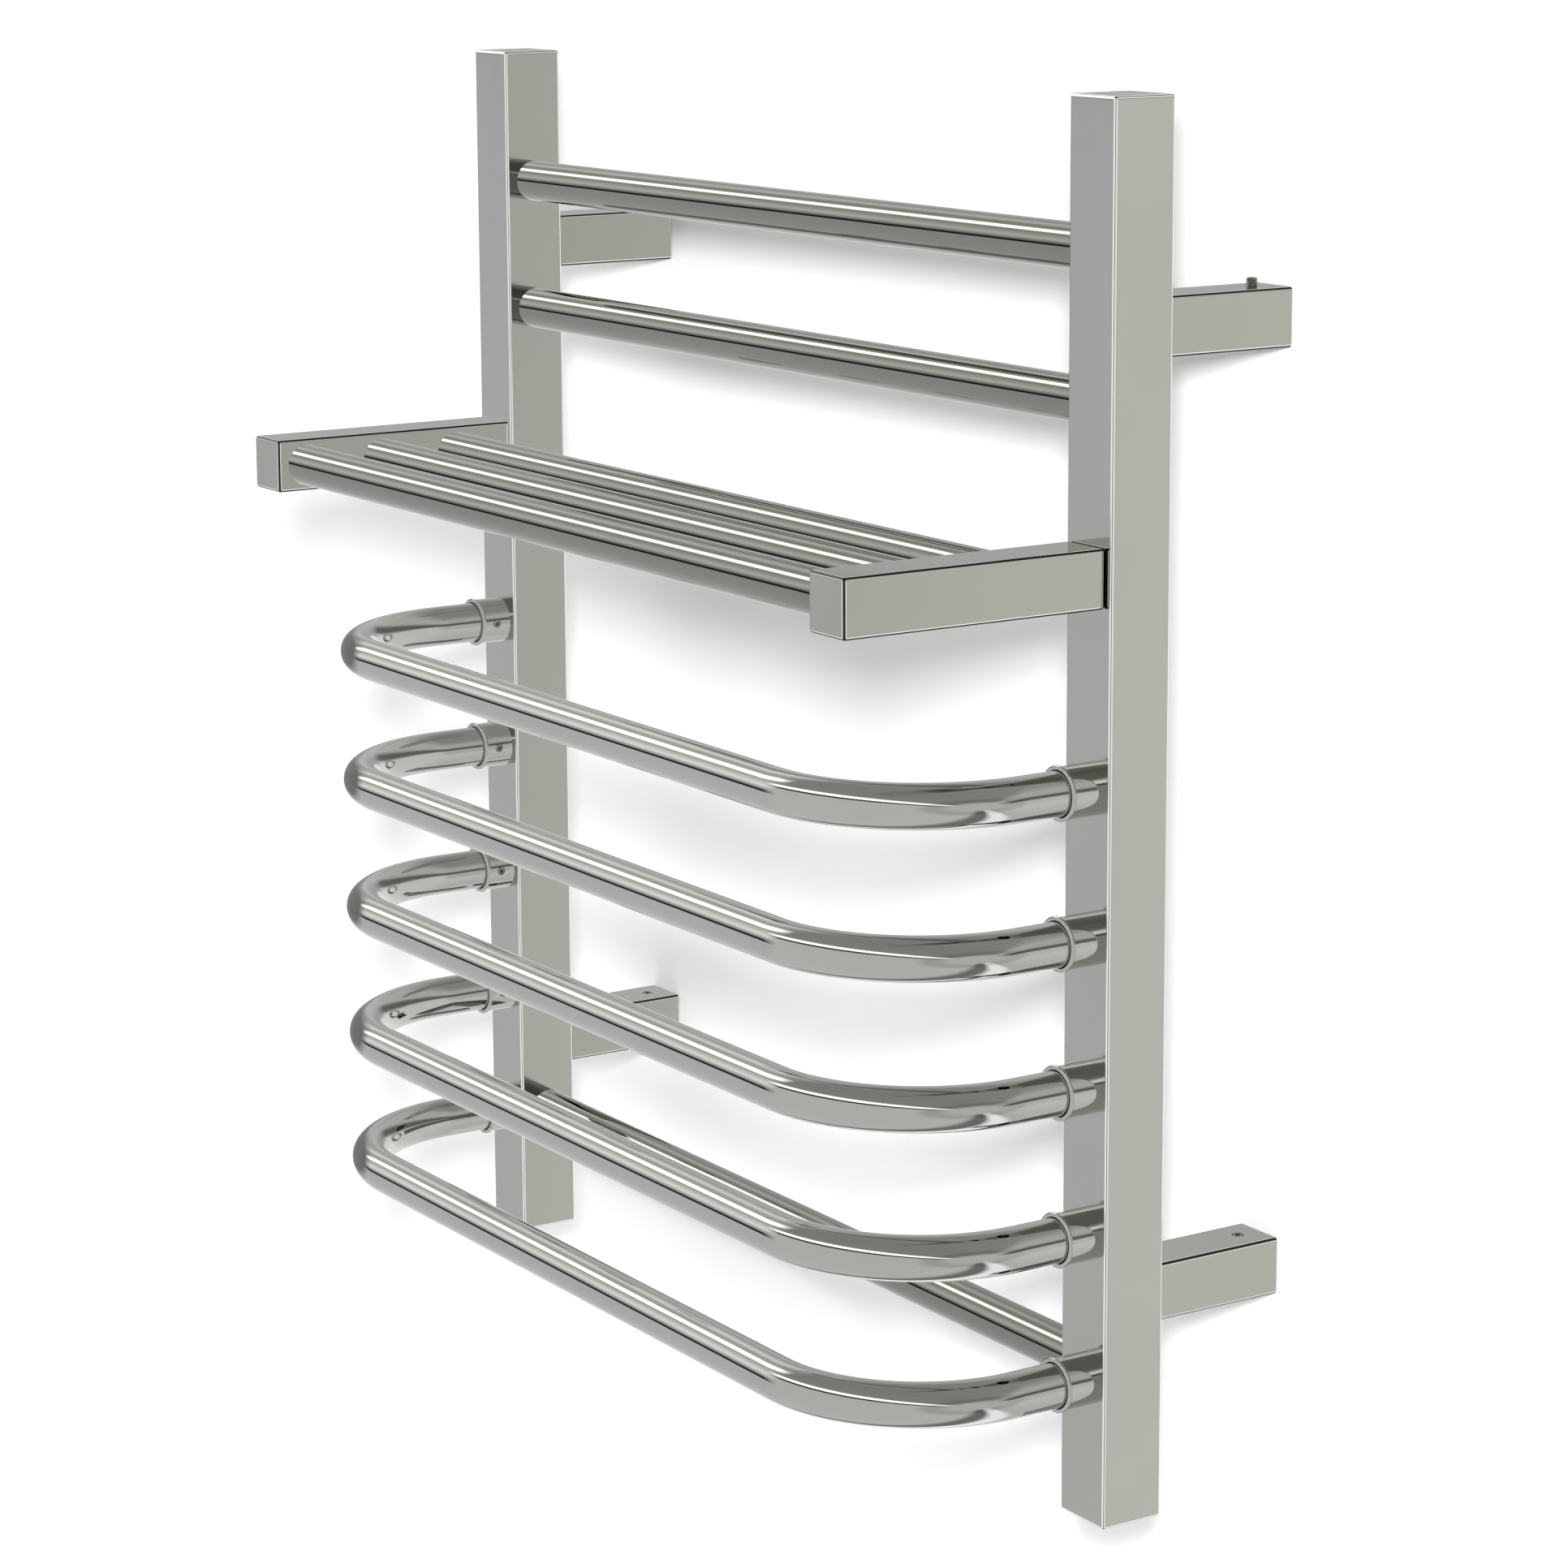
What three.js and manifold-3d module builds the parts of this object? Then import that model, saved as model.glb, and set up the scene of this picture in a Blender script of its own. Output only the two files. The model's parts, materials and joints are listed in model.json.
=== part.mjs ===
// Wall-mounted electric towel warmer in polished stainless steel tube.
//
// Units are millimetres. +X is to the right of someone facing the front, +Y points into the wall
// and +Z is up. The wall is the plane Y = 0, and the origin is the middle of the four wall fixings.

import * as THREE from 'three';
import { mergeVertices } from 'three/addons/utils/BufferGeometryUtils.js';
import Module from 'manifold-3d';

// ---- Driving dimensions -------------------------------------------------------------------------

const OVERALL_WIDTH = 682;
const POST_HEIGHT = 785;
const POST_SECTION = 40;
const POST_FRONT_REACH = 125; // wall to the front face of the posts
const SHEET = 1.2; // wall of the square tubes
const EDGE_RADIUS = 2; // rounded edges of the square tubes
const FIT_GAP = 0.3; // between pieces that touch

const TUBE_RADIUS = 12.7; // round bars and rails
const TUBE_WALL = 1;

const FIXING_HALF_HEIGHT = 267; // origin to the upper and lower wall brackets
const POST_BOTTOM = -395;
const TOP_BAR_HEIGHT = 702; // heights are measured from the bottom of the posts
const SECOND_BAR_HEIGHT = 620;
const RAIL_COUNT = 5;
const LOWEST_RAIL_HEIGHT = 82;
const RAIL_PITCH = 83;

const ARM_SECTION = 33; // shelf arms and wall brackets
const ARM_INSET = 5; // back from the outer face of the posts
const ARM_LENGTH = 167;
const ARM_CENTRE_HEIGHT = 530.5;
const ARM_FRONT_PLATE = 2;
const FIRST_SHELF_BAR = 19.5; // front of the arms to the first bar
const SHELF_BAR_PITCH = 53.5;

const RAIL_STRAIGHT = 47; // post to the start of a rail's bend
const RAIL_BEND_RADIUS = 92; // on the centre line

const SLEEVE_LENGTH = 20;
const SLEEVE_RADIUS = 14.5;
const SLEEVE_BORE = 13.1;
const LIP_RADIUS = 15.5;
const LIP_LENGTH = 2;

const GRUB_RADIUS = 2.5; // M5
const GRUB_LENGTH = 4;
const GRUB_HEAD = 14.6; // rail centre line to the outer end of the screw
const GRUB_FROM_POST = 10;
const GRUB_SOCKET = 2.5; // across the flats

const SET_SCREW_RADIUS = 3; // M6
const SET_SCREW_LENGTH = 8;
const SET_SCREW_SOCKET = 3; // across the flats
const SET_SCREW_FROM_WALL = 15.5;
const SET_SCREW_PROUD = 4.5; // the upper right one, backed out
const SOCKET_DEPTH = 2;

const WALL_CLEARANCE = 0.5; // wall to the bracket ends
const PLUG_SECTION = 30;
const PLUG_LENGTH = 24;
const PLUG_GROOVE_WIDTH = 8;
const FIXING_HOLE_RADIUS = 2.75;
const COUNTERSINK_RADIUS = 5.5;
const COUNTERSINK_DEPTH = 3;
const SUPPLY_FIXING_OFFSET = 10; // the two fixing holes beside the supply hole

const WIRE_HOLE_RADIUS = 6;
const ELEMENT_RADIUS = 2.5;
const ELEMENT_INTO_POST = 10; // each end of a heating element past the face it enters

const SUPPLY_HOLE_RADIUS = 6.5;
const GROMMET_FLANGE_RADIUS = 8.5;
const GROMMET_FLANGE = 1.5;
const GROMMET_BORE = 3.5;

const TERMINAL_BLOCK = new THREE.Vector3(20, 13, 26);
const TERMINAL_HOLE_RADIUS = 1.8;
const TERMINAL_HOLE_SPREAD = 6;
const TERMINAL_BLOCK_DROP = 2; // below the grommet's flange
const TERMINAL_BLOCK_BACK = 8; // behind the middle of the post
const CUTOUT_RADIUS = 7;
const CUTOUT_CAP_RADIUS = 5;
const CUTOUT_BODY = 6;
const CUTOUT_CAP = 3;

const TUBE_SIDES = 16;
const WIRE_SIDES = 8;
const HOLE_SIDES = 12;
const CORNER_SIDES = 4;
const BEND_STEPS = 8;

// ---- Places worked out from them ----------------------------------------------------------------

const POST_X = (OVERALL_WIDTH - POST_SECTION) / 2;
const POST_Y = POST_SECTION / 2 - POST_FRONT_REACH;
const POST_BACK_Y = POST_SECTION - POST_FRONT_REACH;
const ARM_X = OVERALL_WIDTH / 2 - ARM_INSET - ARM_SECTION / 2;
const ARM_FRONT_Y = -POST_FRONT_REACH - ARM_LENGTH;
const PLUG_GROOVE_FLOOR = ARM_SECTION / 2 - SET_SCREW_LENGTH - FIT_GAP; // above the plug's middle
const BETWEEN_POSTS = 2 * POST_X - POST_SECTION - 2 * FIT_GAP;
const BETWEEN_ARMS = 2 * ARM_X - ARM_SECTION - 2 * FIT_GAP;
const QUARTER_TURN = Math.PI / 2;

const heightOf = (fromBottom) => POST_BOTTOM + fromBottom;
const railHeight = (number) => heightOf(LOWEST_RAIL_HEIGHT + (RAIL_COUNT - number) * RAIL_PITCH);
const shelfBarY = (index) => ARM_FRONT_Y + FIRST_SHELF_BAR + index * SHELF_BAR_PITCH;
const SIDES = { left: -1, right: 1 };
const LEVELS = { upper: 1, lower: -1 };
const RAIL_NUMBERS = Array.from({ length: RAIL_COUNT }, (_, index) => index + 1);
const SHELF_BARS = ['front', 'middle', 'rear'];

// ---- Materials ----------------------------------------------------------------------------------

function metal(color, roughness) {
  return new THREE.MeshStandardMaterial({ color, roughness, metalness: 1 });
}

function plain(color, roughness) {
  return new THREE.MeshStandardMaterial({ color, roughness, metalness: 0 });
}

const polishedSteel = () => metal(0xb9b8b2, 0.08);
const screwSteel = () => metal(0x77756f, 0.35);
const castAluminium = () => metal(0xa8aaac, 0.5);
const cutoutMetal = () => metal(0xc0c0bc, 0.3);
const siliconeRed = () => plain(0x8f2f26, 0.6);
const blackRubber = () => plain(0x1b1b1c, 0.7);
const creamPlastic = () => plain(0xe6e1d3, 0.5);

// ---- Boolean joins and cuts ---------------------------------------------------------------------

const MERGE_DISTANCE = 1e-4;
const wasm = await Module();
wasm.setup();

function toSolid(geometry) {
  const bare = geometry.clone();
  bare.deleteAttribute('normal');
  bare.deleteAttribute('uv');
  const merged = mergeVertices(bare, MERGE_DISTANCE);
  return new wasm.Manifold(new wasm.Mesh({
    numProp: 3,
    vertProperties: new Float32Array(merged.attributes.position.array),
    triVerts: new Uint32Array(merged.index.array),
  }));
}

function toGeometry(solid) {
  const { vertProperties, triVerts } = solid.getMesh();
  const geometry = new THREE.BufferGeometry();
  geometry.setAttribute('position', new THREE.BufferAttribute(vertProperties, 3));
  geometry.setIndex(new THREE.BufferAttribute(triVerts, 1));
  geometry.computeVertexNormals();
  return geometry;
}

function cut(geometry, tools) {
  const start = toSolid(geometry);
  return toGeometry(tools.reduce((solid, tool) => solid.subtract(toSolid(tool)), start));
}

// ---- Basic shapes -------------------------------------------------------------------------------

function roundedSquare(size, radius) {
  const inner = size / 2 - radius;
  const shape = new THREE.Shape();
  shape.absarc(inner, inner, radius, 0, QUARTER_TURN);
  shape.absarc(-inner, inner, radius, QUARTER_TURN, 2 * QUARTER_TURN);
  shape.absarc(-inner, -inner, radius, 2 * QUARTER_TURN, 3 * QUARTER_TURN);
  shape.absarc(inner, -inner, radius, 3 * QUARTER_TURN, 4 * QUARTER_TURN);
  return shape;
}

function circle(radius) {
  const shape = new THREE.Shape();
  shape.absarc(0, 0, radius, 0, 2 * Math.PI);
  return shape;
}

function hexagon(acrossFlats) {
  const corner = acrossFlats / Math.sqrt(3);
  const points = Array.from({ length: 6 }, (_, index) => {
    const angle = (index * Math.PI) / 3;
    return new THREE.Vector2(corner * Math.cos(angle), corner * Math.sin(angle));
  });
  return new THREE.Shape(points);
}

// A straight bar of the given section, centred on the origin and running along Z. Each round stretch
// of the section has sides / 2 doubled points, so a full circle has as many sides as stated.
function prism(shape, length, sides) {
  const options = { depth: length, bevelEnabled: false, curveSegments: sides / 2 };
  return new THREE.ExtrudeGeometry(shape, options).translate(0, 0, -length / 2);
}

function block(width, depth, height) {
  return new THREE.BoxGeometry(width, depth, height);
}

// A drill running along one axis, centred on a point.
function drill(axis, radius, length, x, y, z) {
  const tool = new THREE.CylinderGeometry(radius, radius, length, HOLE_SIDES);
  if (axis === 'x') tool.rotateZ(QUARTER_TURN);
  if (axis === 'z') tool.rotateX(QUARTER_TURN);
  return tool.translate(x, y, z);
}

// A turned piece whose axis is Y: profile points are [radius, distance along the axis].
function turned(profile, sides) {
  return new THREE.LatheGeometry(profile.map(([r, y]) => new THREE.Vector2(r, y)), sides);
}

// A round tube that lies along X.
function crossTube(length) {
  const ring = circle(TUBE_RADIUS);
  ring.holes.push(circle(TUBE_RADIUS - TUBE_WALL));
  return prism(ring, length, TUBE_SIDES).rotateY(QUARTER_TURN);
}

// ---- Square-tube pieces -------------------------------------------------------------------------

// A post is welded shut at both ends. Its hollow is reached through the wire holes only.
function postGeometry(side) {
  const depth = POST_SECTION;
  const cavity = block(POST_SECTION - 2 * SHEET, POST_SECTION - 2 * SHEET, POST_HEIGHT - 2 * SHEET);
  const middle = POST_BOTTOM + POST_HEIGHT / 2;
  const holes = [];
  for (const number of RAIL_NUMBERS) {
    const z = railHeight(number) - middle;
    holes.push(drill('y', WIRE_HOLE_RADIUS, depth / 2, 0, -depth / 2, z));
  }
  const armOffset = (ARM_X - POST_X) * side;
  const armHeight = heightOf(ARM_CENTRE_HEIGHT) - middle;
  holes.push(drill('y', WIRE_HOLE_RADIUS, depth / 2, armOffset, -depth / 2, armHeight));
  for (const fromBottom of [TOP_BAR_HEIGHT, SECOND_BAR_HEIGHT]) {
    const z = heightOf(fromBottom) - middle;
    holes.push(drill('x', WIRE_HOLE_RADIUS, depth / 2, -side * depth / 2, 0, z));
  }
  if (side === SIDES.right) {
    const z = -FIXING_HALF_HEIGHT - middle;
    holes.push(drill('y', SUPPLY_HOLE_RADIUS, depth / 2, armOffset, depth / 2, z));
  }
  const skin = prism(roundedSquare(POST_SECTION, EDGE_RADIUS), POST_HEIGHT, CORNER_SIDES);
  return cut(skin, [cavity, ...holes]);
}

// A shelf arm lies along Y, is closed at the front and open towards its post.
function shelfArmGeometry(side) {
  const length = ARM_LENGTH - FIT_GAP;
  const skin = prism(roundedSquare(ARM_SECTION, EDGE_RADIUS), length, CORNER_SIDES);
  skin.rotateX(QUARTER_TURN).translate(0, -length / 2, 0);
  const inside = ARM_SECTION - 2 * SHEET;
  const cavity = block(inside, length, inside).translate(0, ARM_FRONT_PLATE - length / 2, 0);
  const holes = SHELF_BARS.map((_, index) => {
    const y = shelfBarY(index) + POST_FRONT_REACH + FIT_GAP;
    return drill('x', WIRE_HOLE_RADIUS, ARM_SECTION / 2, -side * ARM_SECTION / 2, y, 0);
  });
  return cut(skin, [cavity, ...holes]);
}

// A wall bracket lies along Y from the post to the wall, open at both ends.
function bracketGeometry() {
  const length = -POST_BACK_Y - WALL_CLEARANCE - FIT_GAP;
  const skin = prism(roundedSquare(ARM_SECTION, EDGE_RADIUS), length, CORNER_SIDES);
  skin.rotateX(QUARTER_TURN).translate(0, -length / 2, 0);
  const inside = ARM_SECTION - 2 * SHEET;
  const cavity = block(inside, 2 * length, inside).translate(0, -length / 2, 0);
  const screwY = WALL_CLEARANCE - SET_SCREW_FROM_WALL;
  const hole = drill('z', SET_SCREW_RADIUS + FIT_GAP, ARM_SECTION / 2, 0, screwY, ARM_SECTION / 2);
  return cut(skin, [cavity, hole]);
}

// ---- Curved rails -------------------------------------------------------------------------------

// A path that an extrusion steps along station by station.
class StationPath extends THREE.Curve {
  constructor(stations) {
    super();
    this.stations = stations;
  }

  station(u) {
    return this.stations[Math.round(u * (this.stations.length - 1))];
  }

  getPointAt(u) {
    return this.station(u).point.clone();
  }

  getTangentAt(u) {
    return this.station(u).tangent.clone();
  }
}

// The centre line of a rail: out from the left post, round to the front and back to the right post.
function bowPath(startY) {
  const bendX = POST_X - RAIL_BEND_RADIUS;
  const bendY = -POST_FRONT_REACH - RAIL_STRAIGHT;
  const half = [{ point: new THREE.Vector3(-POST_X, startY, 0), tangent: new THREE.Vector3(0, -1, 0) }];
  for (let step = 0; step <= BEND_STEPS; step += 1) {
    const angle = (step / BEND_STEPS) * QUARTER_TURN;
    const along = RAIL_BEND_RADIUS * Math.cos(angle);
    const out = RAIL_BEND_RADIUS * Math.sin(angle);
    half.push({
      point: new THREE.Vector3(-bendX - along, bendY - out, 0),
      tangent: new THREE.Vector3(Math.sin(angle), -Math.cos(angle), 0),
    });
  }
  const mirrored = half.map(({ point, tangent }) => ({
    point: new THREE.Vector3(-point.x, point.y, 0),
    tangent: new THREE.Vector3(tangent.x, -tangent.y, 0),
  }));
  return new StationPath([...half, ...mirrored.reverse()]);
}

function alongBow(shape, startY, sides) {
  const extrudePath = bowPath(startY);
  const steps = extrudePath.stations.length - 1;
  return new THREE.ExtrudeGeometry(shape, { extrudePath, steps, curveSegments: sides / 2 });
}

function railGeometry() {
  const ring = circle(TUBE_RADIUS);
  ring.holes.push(circle(TUBE_RADIUS - TUBE_WALL));
  const tube = alongBow(ring, -POST_FRONT_REACH - FIT_GAP, TUBE_SIDES);
  const y = -POST_FRONT_REACH - GRUB_FROM_POST;
  const holes = Object.values(SIDES).map((side) => {
    const x = side * (POST_X - TUBE_RADIUS);
    return drill('x', GRUB_RADIUS + FIT_GAP, TUBE_RADIUS, x, y, 0);
  });
  return cut(tube, holes);
}

// A sleeve's axis is Y and it starts at the post's face, with its lip towards the front.
function sleeveGeometry(side) {
  const lipStart = -SLEEVE_LENGTH + LIP_LENGTH;
  const body = turned([
    [SLEEVE_BORE, -SLEEVE_LENGTH],
    [LIP_RADIUS, -SLEEVE_LENGTH],
    [LIP_RADIUS, lipStart],
    [SLEEVE_RADIUS, lipStart],
    [SLEEVE_RADIUS, -FIT_GAP],
    [SLEEVE_BORE, -FIT_GAP],
    [SLEEVE_BORE, -SLEEVE_LENGTH],
  ], TUBE_SIDES);
  const hole = drill('x', GRUB_RADIUS + FIT_GAP, SLEEVE_RADIUS, -side * SLEEVE_RADIUS, -GRUB_FROM_POST, 0);
  return cut(body, [hole]);
}

// ---- Screws -------------------------------------------------------------------------------------

// A headless screw with a hexagon socket in its top end, which is at the origin. It hangs down -Z.
function socketScrewGeometry(radius, length, acrossFlats) {
  const shank = prism(circle(radius), length, HOLE_SIDES).translate(0, 0, -length / 2);
  const socket = prism(hexagon(acrossFlats), 2 * SOCKET_DEPTH, HOLE_SIDES);
  return cut(shank, [socket]);
}

// ---- Wall plugs ---------------------------------------------------------------------------------

// A plug stands off the wall towards -Y. The groove on top lets the set screw's tip slide in.
function plugGeometry(isSupply) {
  const body = block(PLUG_SECTION, PLUG_LENGTH, PLUG_SECTION).translate(0, -PLUG_LENGTH / 2, 0);
  const groove = block(PLUG_GROOVE_WIDTH, 2 * PLUG_LENGTH, PLUG_SECTION);
  groove.translate(0, -PLUG_LENGTH / 2, PLUG_GROOVE_FLOOR + PLUG_SECTION / 2);
  const tools = [groove];
  const fixings = isSupply ? [-SUPPLY_FIXING_OFFSET, SUPPLY_FIXING_OFFSET] : [0];
  if (isSupply) tools.push(drill('y', SUPPLY_HOLE_RADIUS, 2 * PLUG_LENGTH, 0, -PLUG_LENGTH / 2, 0));
  for (const x of fixings) {
    tools.push(drill('y', FIXING_HOLE_RADIUS, 2 * PLUG_LENGTH, x, -PLUG_LENGTH / 2, 0));
    if (!isSupply) {
      const sink = new THREE.CylinderGeometry(
        FIXING_HOLE_RADIUS, COUNTERSINK_RADIUS, COUNTERSINK_DEPTH, HOLE_SIDES,
      );
      tools.push(sink.translate(x, COUNTERSINK_DEPTH / 2 - PLUG_LENGTH, 0));
    }
  }
  return cut(body, tools);
}

// ---- Electrical pieces --------------------------------------------------------------------------

function straightElementGeometry(length) {
  return prism(circle(ELEMENT_RADIUS), length, WIRE_SIDES).rotateY(QUARTER_TURN);
}

function bowElementGeometry() {
  return alongBow(circle(ELEMENT_RADIUS), -POST_FRONT_REACH + ELEMENT_INTO_POST, WIRE_SIDES);
}

// A rubber bush in the back face of the post, with a flange on each side of the sheet.
function grommetGeometry() {
  const neck = SHEET / 2 + FIT_GAP;
  const end = neck + GROMMET_FLANGE;
  const neckRadius = SUPPLY_HOLE_RADIUS - FIT_GAP;
  return turned([
    [GROMMET_BORE, -end],
    [GROMMET_FLANGE_RADIUS, -end],
    [GROMMET_FLANGE_RADIUS, -neck],
    [neckRadius, -neck],
    [neckRadius, neck],
    [GROMMET_FLANGE_RADIUS, neck],
    [GROMMET_FLANGE_RADIUS, end],
    [GROMMET_BORE, end],
    [GROMMET_BORE, -end],
  ], TUBE_SIDES);
}

function terminalBlockGeometry() {
  const { x, y, z } = TERMINAL_BLOCK;
  const holes = [-TERMINAL_HOLE_SPREAD, 0, TERMINAL_HOLE_SPREAD].map(
    (offset) => drill('z', TERMINAL_HOLE_RADIUS, 2 * z, offset, 0, 0),
  );
  return cut(block(x, y, z), holes);
}

function cutoutGeometry() {
  return turned([
    [0, 0],
    [CUTOUT_RADIUS, 0],
    [CUTOUT_RADIUS, CUTOUT_BODY],
    [CUTOUT_CAP_RADIUS, CUTOUT_BODY],
    [CUTOUT_CAP_RADIUS, CUTOUT_BODY + CUTOUT_CAP],
    [0, CUTOUT_BODY + CUTOUT_CAP],
  ], TUBE_SIDES);
}

// ---- Assembly -----------------------------------------------------------------------------------

const towelWarmer = new THREE.Group();
towelWarmer.name = 'towel_warmer';

function place(name, geometry, material, x, y, z) {
  const mesh = new THREE.Mesh(geometry, material);
  mesh.name = name;
  mesh.position.set(x, y, z);
  towelWarmer.add(mesh);
  return mesh;
}

function addPosts() {
  for (const [name, side] of Object.entries(SIDES)) {
    const z = POST_BOTTOM + POST_HEIGHT / 2;
    place(`${name}_post`, postGeometry(side), polishedSteel(), side * POST_X, POST_Y, z);
  }
}

function addCrossBars() {
  const bars = {
    top_bar: TOP_BAR_HEIGHT,
    second_bar: SECOND_BAR_HEIGHT,
    lower_bar: LOWEST_RAIL_HEIGHT,
  };
  for (const [name, fromBottom] of Object.entries(bars)) {
    place(name, crossTube(BETWEEN_POSTS), polishedSteel(), 0, POST_Y, heightOf(fromBottom));
  }
  for (const name of ['top_bar', 'second_bar']) {
    const element = straightElementGeometry(BETWEEN_POSTS + 2 * ELEMENT_INTO_POST);
    place(`${name}_element`, element, siliconeRed(), 0, POST_Y, heightOf(bars[name]));
  }
}

function addShelf() {
  const z = heightOf(ARM_CENTRE_HEIGHT);
  for (const [name, side] of Object.entries(SIDES)) {
    const y = -POST_FRONT_REACH - FIT_GAP;
    place(`${name}_shelf_arm`, shelfArmGeometry(side), polishedSteel(), side * ARM_X, y, z);
  }
  SHELF_BARS.forEach((name, index) => {
    const element = straightElementGeometry(BETWEEN_ARMS + 2 * ELEMENT_INTO_POST);
    place(`${name}_shelf_bar`, crossTube(BETWEEN_ARMS), polishedSteel(), 0, shelfBarY(index), z);
    place(`${name}_shelf_element`, element, siliconeRed(), 0, shelfBarY(index), z);
  });
}

function addCurvedRails() {
  for (const number of RAIL_NUMBERS) {
    const z = railHeight(number);
    place(`curved_rail_${number}`, railGeometry(), polishedSteel(), 0, 0, z);
    place(`curved_rail_element_${number}`, bowElementGeometry(), siliconeRed(), 0, 0, z);
    for (const [name, side] of Object.entries(SIDES)) {
      const x = side * POST_X;
      place(`${name}_sleeve_${number}`, sleeveGeometry(side), polishedSteel(), x, -POST_FRONT_REACH, z);
      const screw = place(
        `${name}_grub_screw_${number}`,
        socketScrewGeometry(GRUB_RADIUS, GRUB_LENGTH, GRUB_SOCKET),
        screwSteel(),
        side * (POST_X - GRUB_HEAD),
        -POST_FRONT_REACH - GRUB_FROM_POST,
        z,
      );
      screw.rotation.y = -side * QUARTER_TURN;
    }
  }
}

function addWallFixings() {
  for (const [level, up] of Object.entries(LEVELS)) {
    for (const [name, side] of Object.entries(SIDES)) {
      const x = side * ARM_X;
      const z = up * FIXING_HALF_HEIGHT;
      const isSupply = side === SIDES.right && up === LEVELS.lower;
      const isBackedOut = side === SIDES.right && up === LEVELS.upper;
      const screw = socketScrewGeometry(SET_SCREW_RADIUS, SET_SCREW_LENGTH, SET_SCREW_SOCKET);
      const screwZ = z + ARM_SECTION / 2 + (isBackedOut ? SET_SCREW_PROUD : 0);
      const corner = `${level}_${name}`;
      place(`${corner}_bracket`, bracketGeometry(), polishedSteel(), x, -WALL_CLEARANCE, z);
      place(`${corner}_wall_plug`, plugGeometry(isSupply), castAluminium(), x, 0, z);
      place(`${corner}_set_screw`, screw, screwSteel(), x, -SET_SCREW_FROM_WALL, screwZ);
    }
  }
}

function addElectricalPieces() {
  const sheetY = POST_BACK_Y - SHEET / 2;
  place('supply_grommet', grommetGeometry(), blackRubber(), ARM_X, sheetY, -FIXING_HALF_HEIGHT);
  const blockTop = -FIXING_HALF_HEIGHT - GROMMET_FLANGE_RADIUS - TERMINAL_BLOCK_DROP;
  const blockZ = blockTop - TERMINAL_BLOCK.z / 2;
  const blockY = POST_Y + TERMINAL_BLOCK_BACK;
  place('terminal_block', terminalBlockGeometry(), creamPlastic(), POST_X, blockY, blockZ);
  const cutoutY = -POST_FRONT_REACH + SHEET + FIT_GAP;
  const cutoutZ = railHeight(RAIL_COUNT - 1) + RAIL_PITCH / 2;
  place('thermal_cutout', cutoutGeometry(), cutoutMetal(), POST_X, cutoutY, cutoutZ);
}

addPosts();
addCrossBars();
addShelf();
addCurvedRails();
addWallFixings();
addElectricalPieces();

export default towelWarmer;
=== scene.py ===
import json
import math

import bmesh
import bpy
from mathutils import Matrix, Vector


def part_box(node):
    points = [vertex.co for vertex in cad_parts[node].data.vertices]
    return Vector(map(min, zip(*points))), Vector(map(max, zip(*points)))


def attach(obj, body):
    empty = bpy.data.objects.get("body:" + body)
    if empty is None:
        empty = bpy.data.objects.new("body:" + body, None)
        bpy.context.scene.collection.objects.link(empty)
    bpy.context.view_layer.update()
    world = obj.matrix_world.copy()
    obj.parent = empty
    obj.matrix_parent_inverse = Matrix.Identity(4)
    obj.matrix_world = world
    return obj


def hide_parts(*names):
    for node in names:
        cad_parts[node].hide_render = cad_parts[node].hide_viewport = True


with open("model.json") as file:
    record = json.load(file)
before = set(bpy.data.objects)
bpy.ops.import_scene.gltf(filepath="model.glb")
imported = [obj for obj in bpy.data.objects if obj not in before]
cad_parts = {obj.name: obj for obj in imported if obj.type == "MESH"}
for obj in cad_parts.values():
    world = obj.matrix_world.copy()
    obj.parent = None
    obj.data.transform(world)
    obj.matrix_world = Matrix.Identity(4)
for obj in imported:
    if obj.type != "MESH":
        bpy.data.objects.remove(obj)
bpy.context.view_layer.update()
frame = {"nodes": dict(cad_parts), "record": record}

# Looks of a wall-mounted electric towel warmer in mirror-polished stainless steel.
#
# Units are metres, in the frame of the CAD model: +X to the right, +Y into the wall, +Z up, with the
# wall at Y = 0. Places come from the CAD nodes' boxes. Each visible piece is rebuilt as a fine mesh and
# stands for its CAD node; the wall plugs and the small electrical pieces are the CAD nodes themselves.

# ---- Driving dimensions -----------------------------------------------------------------------------

TUBE_RADIUS = 0.0127
TUBE_WALL = 0.001
SHEET = 0.0012
EDGE_RADIUS = 0.002
RIM_WIDTH = 0.00045
FIT_GAP = 0.0003
RAIL_BEND_RADIUS = 0.092

SLEEVE_RADIUS = 0.0145
SLEEVE_BORE = 0.0131
LIP_ROLL = 0.001
BORE_ROUNDING = 0.0005
GRUB_HOLE_RADIUS = 0.0027
GRUB_BAND = 0.0036

SOCKET_DEPTH = 0.002
GRUB_SCREW = {"radius": 0.0025, "length": 0.004, "flats": 0.0025, "pitch": 0.0008}
SET_SCREW = {"radius": 0.003, "length": 0.008, "flats": 0.003, "pitch": 0.001}
SET_SCREW_HOLE_RADIUS = 0.0033
SCREW_CHAMFER = 0.0004
THREAD_DEPTH = 0.0003
ELEMENT_RADIUS = 0.0025
SUPPLY_HOLE_RADIUS = 0.0065
WIRE_HOLE_RADIUS = 0.006

RIM_STEPS = 4
RIM_ANGLE = math.radians(50)
SHARP_ANGLE = math.radians(35)
CUT_DEPTH = 4 * SHEET
FLAT_FACE_WEIGHT = 50
WELD_DISTANCE = 0.00001

PLUG_EDGE = 0.0005
GROMMET_EDGE = 0.0003
BLOCK_EDGE = 0.0005
CUTOUT_EDGE = 0.0004

TUBE_SIDES = 72
SLEEVE_SIDES = 120
SCREW_SIDES = 48
ELEMENT_SIDES = 20
BEND_STEPS = 36
EDGE_STEPS = 6
ARC_STEPS = 8
THREAD_STEPS = 8
CUTTER_SIDES = 48

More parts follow.
